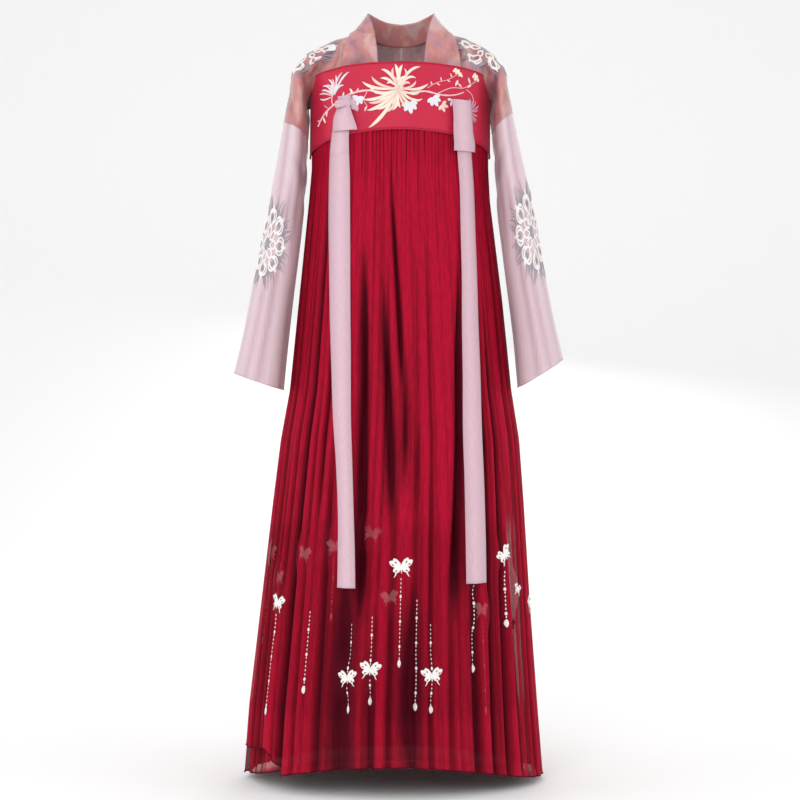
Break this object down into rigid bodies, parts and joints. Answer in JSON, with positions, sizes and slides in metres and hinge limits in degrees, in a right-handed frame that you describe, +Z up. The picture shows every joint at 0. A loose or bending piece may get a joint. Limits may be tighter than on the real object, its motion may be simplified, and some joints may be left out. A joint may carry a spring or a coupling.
{
  "type": "hanfu robe",
  "caption": "Chest-high hanfu: open-fronted long-sleeved shirt under a gathered floor-length layered skirt hung from an embroidered chest band with two long ties.",
  "frame": {"origin": "midway between the tops of the two shoulders, where the wearer carries the shirt", "axes": "+Z up, the garment's front towards -Y, +X towards the viewer's right when seen from the front"},
  "size_m": [0.579, 0.4092, 1.354],
  "materials": {
    "shot_organza": "sheer shot organza, pink crossed with coral and beige",
    "pale_organza": "pale pink satin organza, slightly sheer",
    "rose_band": "interlined rose-red satin, embroidered",
    "crimson_chiffon": "sheer deep crimson chiffon, gathered",
    "crimson_lining": "opaque deep crimson lining",
    "pink_tie": "pale pink ribbon cloth"
  },
  "bodies": {
    "root": {"shirt_left": "shot_organza", "shirt_right": "shot_organza", "collar": "shot_organza", "sleeve_left": "pale_organza", "sleeve_right": "pale_organza", "band_front": "rose_band", "band_back": "rose_band", "skirt_front": "crimson_chiffon", "skirt_back": "crimson_chiffon", "underskirt_front": "crimson_chiffon", "underskirt_back": "crimson_chiffon", "lining_front": "crimson_lining", "lining_back": "crimson_lining", "tie_left_ribbon": "pink_tie", "tie_left_tail": "pink_tie", "tie_left_knot": "pink_tie", "tie_right_ribbon": "pink_tie", "tie_right_tail": "pink_tie", "tie_right_knot": "pink_tie"}
  },
  "joints": []
}
